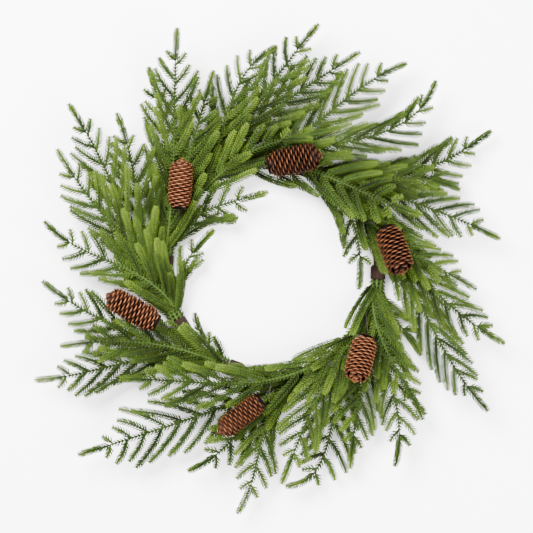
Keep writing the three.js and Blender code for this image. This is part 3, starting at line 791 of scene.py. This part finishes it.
def cone_piece(number, cone, template, core, material, settings):
    """A cone: a core painted near black as shade, under scales set on a golden-angle spiral."""
    noise = np.random.RandomState(FIRST_SEED * 31 + number)
    base, apex, radius, _ = cone
    base, apex = np.array(base, float), np.array(apex, float)
    axis = unit(apex - base)
    side = unit(np.cross(axis, UP))
    over = np.cross(side, axis)
    length = np.linalg.norm(apex - base)
    heap = Heap()
    points, faces = core
    share = np.clip(points[:, 2], 0, 1)
    closing = np.sqrt(np.clip((1 - share) / CORE_END, 0, 1))
    widths = np.array([cone_radius(s) for s in share]) * radius * CORE_WIDTH * closing
    flesh = side * (points[:, 0] * widths)[:, None] + over * (points[:, 1] * widths)[:, None]
    tones = np.zeros((1, len(points), 4))
    # The core is painted shade, near black, except for its base end
    tones[0, :, 0] = np.where(points[:, 2] < 0.02, CORE_BASE_TONE, 0)
    heap.add((base + axis * (share * length * CORE_LENGTH)[:, None] + flesh)[None], faces, tones)
    points, faces = template
    made, marks = [], []
    scale_length, scale_width = settings.scale_length / MM, settings.scale_width / MM
    for i in range(settings.scales):
        share = (i + 0.5) / settings.scales
        turn = math.radians(GOLDEN_ANGLE * i)
        out = side * math.cos(turn) + over * math.sin(turn)
        size = 0.6 + 0.4 * min(1, (1 - share) / 0.25)
        size *= 0.8 + 0.2 * min(1, share / 0.12)
        closing = min(1, (1 - share) / APEX_END)
        opening = max(0, 1 - share / BASE_END)
        wide = (radius * cone_radius(share) - SCALE_INSET) * min(1, closing * 2.2) * (1 - 0.3 * opening)
        tilt = SCALE_TILT[0] + SCALE_TILT[1] * closing + SCALE_TILT[2] * opening
        tilt = math.radians(tilt + TILT_STRAY * noise.normal())
        spine = axis * math.cos(tilt) + out * math.sin(tilt)
        face = out * math.cos(tilt) - axis * math.sin(tilt)
        across = np.cross(spine, face)
        reach = scale_length * size
        lip_at = base + axis * (share * (length - reach * 0.35) + reach * 0.25) + out * wide
        root_at = lip_at - spine * reach
        copy = root_at + np.outer(points[:, 0] * scale_width * size, across)
        copy = copy + np.outer(points[:, 1] * reach, spine) + np.outer(points[:, 2] * reach, face)
        made.append(copy)
        mark = np.zeros((len(points), 4))
        # The share along each scale: low where it tucks in, which the finish paints as shade; near the apex
        # the painted shade gives way sooner
        mark[:, 0] = np.clip(points[:, 1], 0, 1) ** (0.4 + 0.6 * closing)
        shade = CONE_SHADES[number - 1] + noise.uniform(-SHADE_STRAY, SHADE_STRAY)
        mark[:, 2] = np.clip(shade, 0, 1)
        marks.append(mark)
    heap.add(np.array(made), faces, np.array(marks))
    piece = heap.finish(f"fine_cone_{number}", material)
    dress(piece, "cone_scales", f"cone_{number}")


def wire_points(base, apex, hook):
    base = np.array(base, float)
    axis = unit(np.subtract(apex, base))
    above = ring_point(hook, HOOK_SEATS[0], HOOK_REACH + 4)
    above[2] = RING_HEIGHT + HOOK_RISE
    return [
        base + axis * WIRE_IN_CONE,
        base - axis * 3,
        base - axis * 9 + np.array((0, 0, -6)),
        above,
        *[ring_point(hook, seat, HOOK_REACH) for seat in HOOK_SEATS],
    ]


def rounded_route(points, count):
    """A centripetal Catmull-Rom curve through points."""
    points = np.array(points)
    padded = np.vstack([2 * points[0] - points[1], points, 2 * points[-1] - points[-2]])
    made = []
    for i in range(len(points) - 1):
        p = padded[i : i + 4]
        knots = np.concatenate(([0], np.cumsum(np.linalg.norm(np.diff(p, axis=0), axis=1) ** 0.5)))
        for t in np.linspace(knots[1], knots[2], count, endpoint=False):
            a = [(knots[k + 1] - t) * p[k] + (t - knots[k]) * p[k + 1] for k in range(3)]
            a = [v / (knots[k + 1] - knots[k]) for k, v in enumerate(a)]
            b = [(knots[k + 2] - t) * a[k] + (t - knots[k]) * a[k + 1] for k in range(2)]
            b = [v / (knots[k + 2] - knots[k]) for k, v in enumerate(b)]
            made.append(((knots[2] - t) * b[0] + (t - knots[1]) * b[1]) / (knots[2] - knots[1]))
    made.append(points[-1])
    return Route(made)


# Ring


def taped_ring(material, settings):
    """The ring, with the turns of its tape as low ridges that run slanting round it."""
    shape = bmesh.new()
    circle = bmesh.ops.create_circle(shape, segments=RING_SIDES, radius=RING_SECTION * MM)
    upright = Matrix.Rotation(math.pi / 2, 3, "X")
    bmesh.ops.rotate(shape, verts=circle["verts"], cent=(0, 0, 0), matrix=upright)
    centre = Vector((RING_MIDDLE[0], RING_MIDDLE[1], RING_HEIGHT * MM))
    bmesh.ops.translate(shape, verts=circle["verts"], vec=centre + Vector((RING_RADIUS * MM, 0, 0)))
    bmesh.ops.spin(
        shape,
        geom=shape.edges[:],
        cent=centre,
        axis=(0, 0, 1),
        angle=2 * math.pi,
        steps=RING_STEPS,
        use_merge=True,
    )
    bmesh.ops.remove_doubles(shape, verts=shape.verts, dist=1e-6)
    turns = round(2 * math.pi * RING_RADIUS * MM / settings.tape_width)
    for corner in shape.verts:
        flat = Vector((corner.co.x - centre.x, corner.co.y - centre.y, 0))
        middle = centre + flat.normalized() * RING_RADIUS * MM
        out = (corner.co - middle).normalized()
        winding = math.atan2(flat.y, flat.x) * turns / (2 * math.pi)
        winding += math.atan2(out.z, out.dot(flat.normalized())) / (2 * math.pi)
        ridge = (winding % 1.0) ** 2
        corner.co = middle + out * (RING_SECTION - TAPE_LOW + TAPE_RIDGE * ridge) * MM
    bmesh.ops.recalc_face_normals(shape, faces=shape.faces)
    piece = piece_from(shape, "taped_ring", material)
    dress(piece, "tape", "ring_frame")


def convex_outline(points):
    """The outline that a taut tape takes round a set of points."""
    ordered = sorted(map(tuple, points))

    def chain(row):
        kept = []
        for p in row:
            while len(kept) > 1:
                a, b = kept[-2:]
                if (b[0] - a[0]) * (p[1] - a[1]) - (b[1] - a[1]) * (p[0] - a[0]) > 0:
                    break
                kept.pop()
            kept.append(p)
        return kept[:-1]

    return chain(ordered) + chain(ordered[::-1])


def circle_points(centre, radius, count):
    return [np.array(centre) + planar(360 * i / count, radius) for i in range(count)]


def tape_wrap(number, degrees, seats, material):
    """A wrap of tape round the ring and its stems, wound in turns, flat underneath."""
    wall = WRAP_CLEARANCE + WRAP_WALL
    centre = np.array((0, RING_HEIGHT))
    points = circle_points(centre, RING_SECTION + wall, 40)
    for seat in seats:
        points += circle_points(centre + planar(SEATS[seat], STEM_SEAT), STEM_ROOT_RADIUS + wall, 20)
    foot = [np.array((-WRAP_FOOT_HALF, 0.0)), np.array((WRAP_FOOT_HALF, 0.0))]
    outline = convex_outline([p for p in points if p[1] >= 0] + foot)
    shape = bmesh.new()
    corners = [shape.verts.new((p[0], -WRAP_LENGTH / 2, p[1])) for p in outline]
    face = [shape.faces.new(corners)]
    for i in range(WRAP_STEPS):
        grown = bmesh.ops.extrude_face_region(shape, geom=face)["geom"]
        bmesh.ops.delete(shape, geom=face if i else [], context="FACES_ONLY")
        moved = [item for item in grown if isinstance(item, bmesh.types.BMVert)]
        face = [item for item in grown if isinstance(item, bmesh.types.BMFace)]
        bmesh.ops.translate(shape, verts=moved, vec=(0, WRAP_LENGTH / WRAP_STEPS, 0))
    for corner in shape.verts:
        out = Vector((corner.co.x, 0, corner.co.z - RING_HEIGHT))
        winding = (corner.co.y + WRAP_LENGTH / 2) / WRAP_TURN + math.atan2(out.z, out.x) / (2 * math.pi)
        taper = smooth_step(0, WRAP_EDGE_LENGTH, WRAP_LENGTH / 2 - abs(corner.co.y))
        inset = WRAP_INSET + WRAP_RIDGE * (1 - (winding % 1.0)) ** 2 + WRAP_EDGE * (1 - taper)
        if corner.co.z > 0.01:
            corner.co -= out.normalized() * inset
    bmesh.ops.recalc_face_normals(shape, faces=shape.faces)
    turn = Matrix.Rotation(math.radians(degrees), 4, "Z") @ Matrix.Translation((RING_RADIUS, 0, 0))
    bmesh.ops.transform(shape, matrix=turn, verts=shape.verts)
    bmesh.ops.transform(shape, matrix=Matrix.Scale(MM, 4), verts=shape.verts)
    bmesh.ops.translate(shape, verts=shape.verts, vec=(RING_MIDDLE[0], RING_MIDDLE[1], 0))
    piece = piece_from(shape, f"tape_wrap_{number:02d}", material)
    dress(piece, "tape", f"binding_{number:02d}")


# Materials


class Finish:
    """A material and the links between its nodes."""

    def __init__(self, name):
        self.material = bpy.data.materials.new(name)
        self.material.use_nodes = True
        self.nodes = self.material.node_tree.nodes
        self.links = self.material.node_tree.links
        self.shader = self.nodes["Principled BSDF"]

    def node(self, kind, inputs=None, **settings):
        made = self.nodes.new(kind)
        for key, value in settings.items():
            setattr(made, key, value)
        for key, value in (inputs or {}).items():
            self.put(made, key, value)
        return made

    def put(self, made, key, value):
        if isinstance(value, bpy.types.NodeSocket):
            self.links.new(value, made.inputs[key])
        else:
            made.inputs[key].default_value = value

    def blend(self, share, first, second):
        made = self.node("ShaderNodeMix", data_type="RGBA")
        for key, value in ((0, share), (6, first), (7, second)):
            self.put(made, key, value)
        return made.outputs[2]

    def sum(self, operation, first, second):
        return self.node("ShaderNodeMath", {0: first, 1: second}, operation=operation).outputs[0]

    def rescale(self, value, low, high, new_low=0.0, new_high=1.0):
        inputs = {"Value": value, "From Min": low, "From Max": high, "To Min": new_low, "To Max": new_high}
        return self.node("ShaderNodeMapRange", inputs).outputs[0]

    def noise(self, scale, detail=3.0, roughness=0.5):
        place = self.node("ShaderNodeTexCoord").outputs["Object"]
        inputs = {"Vector": place, "Scale": scale, "Detail": detail, "Roughness": roughness}
        return self.node("ShaderNodeTexNoise", inputs).outputs["Fac"]

    def bump(self, height, strength, distance):
        made = self.node("ShaderNodeBump", {"Height": height, "Strength": strength, "Distance": distance})
        self.links.new(made.outputs[0], self.shader.inputs["Normal"])

    def tone(self):
        """The four marks that a heap's mesh carries on its points."""
        source = self.node("ShaderNodeAttribute", attribute_name="tone")
        parts = self.node("ShaderNodeSeparateColor", {"Color": source.outputs["Color"]}).outputs
        return parts[0], parts[1], parts[2], source.outputs["Alpha"]


def colour(values):
    return (*values, 1.0)


def needle_finish(settings):
    """Soft moulded green: deep where the needles are old, yellow-green at the tips, with painted shade at
    each needle's root and painted light towards its tip.
    """
    finish = Finish("norfolk_pine")
    youth_and_shade, share, tint, stem = finish.tone()
    patch = finish.noise(14.0, 2.0)
    youth = finish.sum("ADD", youth_and_shade, finish.rescale(patch, 0.35, 0.65, -0.16, 0.16))
    youth = finish.sum("ADD", youth, finish.rescale(tint, 0, 1, -0.14, 0.14))
    # Old needles, and as painted shade the needles that point down, go towards deep green
    aged_and_shaded = finish.blend(finish.rescale(youth, 0.0, 0.45), colour(settings.deep), colour(settings.middle))
    green = finish.blend(finish.rescale(youth, 0.35, 1.0), aged_and_shaded, colour(settings.fresh))
    lit = finish.blend(finish.rescale(share, 0.3, 1.0, 0.0, 0.4), green, colour(settings.fresh))
    # Painted shade: each needle darkens to deep green towards its root, where it meets the twig
    root_shaded = finish.blend(finish.rescale(share, 0.0, 0.6), colour(settings.deep), lit)
    bark = finish.blend(youth_and_shade, colour(settings.deep), colour(settings.bark))
    whole = finish.blend(stem, root_shaded, bark)
    finish.links.new(whole, finish.shader.inputs["Base Color"])
    finish.shader.inputs["Roughness"].default_value = 0.5
    finish.shader.inputs["Specular IOR Level"].default_value = 0.05
    finish.bump(finish.noise(900.0, 2.0), 0.15, 0.0003)
    return finish.material


def cone_finish(settings):
    """Reddish brown scales with tan lips, darkened by painted shade where they tuck in."""
    finish = Finish("cone_scales")
    share, _, tint, _ = finish.tone()
    grain = finish.noise(260.0, 4.0, 0.6)
    patch = finish.noise(30.0, 2.0)
    mottle = finish.rescale(patch, 0.3, 0.7, 0.0, 0.3)
    body = finish.blend(mottle, colour(settings.body), colour(settings.lip))
    # Painted shade: each scale darkens towards the near-black between the scales where it tucks in under
    # the next row
    deep = finish.blend(finish.rescale(share, 0.64, 0.97), colour(settings.depth), body)
    rough_edge = finish.sum("ADD", share, finish.rescale(grain, 0.3, 0.7, -0.04, 0.04))
    lip = finish.rescale(rough_edge, 0.9, 1.0)
    whole = finish.blend(lip, deep, colour(settings.lip))
    # Whole cones darkened towards the same near-black, each by its amount in CONE_SHADES
    shade = finish.blend(finish.rescale(tint, 0, 1, 0.0, 0.7), whole, colour(settings.depth))
    finish.links.new(shade, finish.shader.inputs["Base Color"])
    finish.links.new(finish.rescale(grain, 0.3, 0.7, 0.42, 0.62), finish.shader.inputs["Roughness"])
    finish.shader.inputs["Specular IOR Level"].default_value = 0.03
    finish.bump(grain, 0.35, 0.0006)
    return finish.material


def tape_finish(settings):
    """Crinkled paper tape."""
    finish = Finish("paper_tape")
    fibre = finish.noise(420.0, 5.0, 0.65)
    patch = finish.noise(40.0, 2.0)
    pale = tuple(min(1.0, value * 2.6) for value in settings.tape)
    share = finish.rescale(finish.sum("MULTIPLY", fibre, patch), 0.12, 0.42)
    brown = finish.blend(share, colour(settings.tape), colour(pale))
    finish.links.new(brown, finish.shader.inputs["Base Color"])
    finish.shader.inputs["Roughness"].default_value = 0.82
    finish.shader.inputs["Specular IOR Level"].default_value = 0.06
    finish.bump(fibre, 0.6, 0.0008)
    return finish.material


def wire_finish(settings):
    """Dark enamel, a little worn."""
    finish = Finish("enamelled_wire")
    wear = finish.noise(300.0, 3.0)
    pale = tuple(min(1.0, value * 3) for value in settings.wire)
    share = finish.rescale(wear, 0.55, 0.75)
    worn = finish.blend(share, colour(settings.wire), colour(pale))
    finish.links.new(worn, finish.shader.inputs["Base Color"])
    finish.shader.inputs["Roughness"].default_value = 0.38
    finish.shader.inputs["Specular IOR Level"].default_value = 0.15
    finish.bump(wear, 0.1, 0.0002)
    return finish.material


def floor_finish(settings):
    """Plain pale matte floor."""
    finish = Finish("pale_floor")
    mottle = finish.noise(3.0, 2.0)
    dimmer = tuple(value * 0.985 for value in settings.floor)
    share = finish.rescale(mottle, 0.3, 0.7)
    plain = finish.blend(share, colour(settings.floor), colour(dimmer))
    finish.links.new(plain, finish.shader.inputs["Base Color"])
    finish.shader.inputs["Roughness"].default_value = 0.9
    finish.shader.inputs["Specular IOR Level"].default_value = 0.1
    return finish.material


# Operators


class WREATH_OT_wind_ring(bpy.types.Operator):
    """Wind the ring in its tape."""

    bl_idname = "wreath.wind_ring"
    bl_label = "Wind Ring"

    def execute(self, context):
        settings = context.scene.wreath_ring
        taped_ring(tape_finish(settings), settings)
        return {"FINISHED"}


class WREATH_OT_wrap_stems(bpy.types.Operator):
    """Bind the stems to the ring with wraps of tape."""

    bl_idname = "wreath.wrap_stems"
    bl_label = "Wrap Stems"

    def execute(self, context):
        material = tape_finish(context.scene.wreath_ring)
        for i, degrees in enumerate(BINDING_ANGLES):
            seats = [seat for binding, seat, *_ in SPRAYS if binding == i]
            tape_wrap(i + 1, degrees, seats, material)
        return {"FINISHED"}


class WREATH_OT_grow_sprays(bpy.types.Operator):
    """Grow the sprays of norfolk pine."""

    bl_idname = "wreath.grow_sprays"
    bl_label = "Grow Sprays"

    def execute(self, context):
        settings = context.scene.wreath_spray
        material = needle_finish(settings)
        templates = (unit_needle(), unit_branch(6, 36), unit_branch(5, 9))
        for i, spray in enumerate(grow_wreath()):
            spray_piece(i + 1, spray, templates, material, settings)
        return {"FINISHED"}


class WREATH_OT_make_cones(bpy.types.Operator):
    """Make the cones out of scales."""

    bl_idname = "wreath.make_cones"
    bl_label = "Make Cones"

    def execute(self, context):
        settings = context.scene.wreath_cone
        material = cone_finish(settings)
        template, core = unit_scale(), unit_branch(16, 14)
        for i, cone in enumerate(CONES):
            cone_piece(i + 1, cone, template, core, material, settings)
        return {"FINISHED"}


class WREATH_OT_hook_wires(bpy.types.Operator):
    """Hook the wires of the cones round the ring."""

    bl_idname = "wreath.hook_wires"
    bl_label = "Hook Wires"

    def execute(self, context):
        material = wire_finish(context.scene.wreath_ring)
        template = unit_branch(8, 70)
        for i, (base, apex, _, hook) in enumerate(CONES):
            heap = Heap()
            route = rounded_route(wire_points(base, apex, hook), 10)
            add_branch(heap, template, route, FINE_WIRE_RADIUS, FINE_WIRE_RADIUS, lambda share: share)
            piece = heap.finish(f"fine_wire_{i + 1}", material)
            dress(piece, "wire", f"cone_wire_{i + 1}")
        return {"FINISHED"}


class WREATH_OT_set_stage(bpy.types.Operator):
    """Lay the floor, and set the lights and the camera."""

    bl_idname = "wreath.set_stage"
    bl_label = "Set Stage"

    def execute(self, context):
        settings = context.scene.wreath_stage
        shape = bmesh.new()
        bmesh.ops.create_grid(shape, x_segments=1, y_segments=1, size=FLOOR_HALF)
        bmesh.ops.translate(shape, verts=shape.verts, vec=(0, 0, -FLOOR_DROP))
        piece_from(shape, "floor", floor_finish(settings), smooth=False)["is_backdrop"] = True
        world = bpy.data.worlds.new("sky")
        world.use_nodes = True
        world.node_tree.nodes["Background"].inputs["Color"].default_value = (1, 1, 1, 1)
        world.node_tree.nodes["Background"].inputs["Strength"].default_value = settings.sky
        context.scene.world = world
        self.area_light("key_light", *KEY_LIGHT, settings.key_power)
        self.area_light("fill_light", *FILL_LIGHT, settings.key_power * FILL_SHARE)
        self.place_camera(context)
        return {"FINISHED"}

    def area_light(self, name, place, size, power):
        light = bpy.data.lights.new(name, "AREA")
        light.energy = power
        light.size = size
        lamp = bpy.data.objects.new(name, light)
        lamp.location = place
        lamp.rotation_euler = (-Vector(place)).to_track_quat("-Z", "Y").to_euler()
        bpy.context.scene.collection.objects.link(lamp)

    def place_camera(self, context):
        lens = bpy.data.cameras.new("camera")
        width = FRAME_PIXELS * MM_PER_PIXEL * MM
        lens.sensor_width = SENSOR_WIDTH
        lens.lens = SENSOR_WIDTH * CAMERA_DISTANCE / width
        camera = bpy.data.objects.new("camera", lens)
        across = (FRAME_PIXELS / 2 - RING_PIXEL[0]) * MM_PER_PIXEL * MM
        up = (RING_PIXEL[1] - FRAME_PIXELS / 2) * MM_PER_PIXEL * MM
        place = (RING_MIDDLE[0] + across, RING_MIDDLE[1] + up, FOLIAGE_HEIGHT + CAMERA_DISTANCE)
        camera.location = place
        context.scene.collection.objects.link(camera)
        context.scene.camera = camera


class WREATH_PT_panel(bpy.types.Panel):
    """The wreath's sizes, colours and steps."""

    bl_label = "Norfolk Pine Wreath"
    bl_idname = "WREATH_PT_panel"
    bl_space_type = "VIEW_3D"
    bl_region_type = "UI"
    bl_category = "Wreath"

    def draw(self, context):
        for group in (getattr(context.scene, name) for name in GROUPS):
            box = self.layout.box()
            for name in group.__annotations__:
                box.prop(group, name)
        for step in STEPS:
            self.layout.operator(step.bl_idname)


STEPS = (
    WREATH_OT_wind_ring,
    WREATH_OT_wrap_stems,
    WREATH_OT_grow_sprays,
    WREATH_OT_make_cones,
    WREATH_OT_hook_wires,
    WREATH_OT_set_stage,
)
GROUPS = {
    "wreath_spray": SprayProperties,
    "wreath_cone": ConeProperties,
    "wreath_ring": RingProperties,
    "wreath_stage": StageProperties,
}


def register():
    for kind in (*GROUPS.values(), *STEPS, WREATH_PT_panel):
        bpy.utils.register_class(kind)
    for name, group in GROUPS.items():
        setattr(bpy.types.Scene, name, PointerProperty(type=group))


def unregister():
    for name in GROUPS:
        delattr(bpy.types.Scene, name)
    for kind in reversed((*GROUPS.values(), *STEPS, WREATH_PT_panel)):
        bpy.utils.unregister_class(kind)


def main():
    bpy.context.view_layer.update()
    register()
    bpy.ops.wreath.wind_ring()
    bpy.ops.wreath.wrap_stems()
    bpy.ops.wreath.grow_sprays()
    bpy.ops.wreath.make_cones()
    bpy.ops.wreath.hook_wires()
    bpy.ops.wreath.set_stage()


if __name__ == "__main__":
    main()
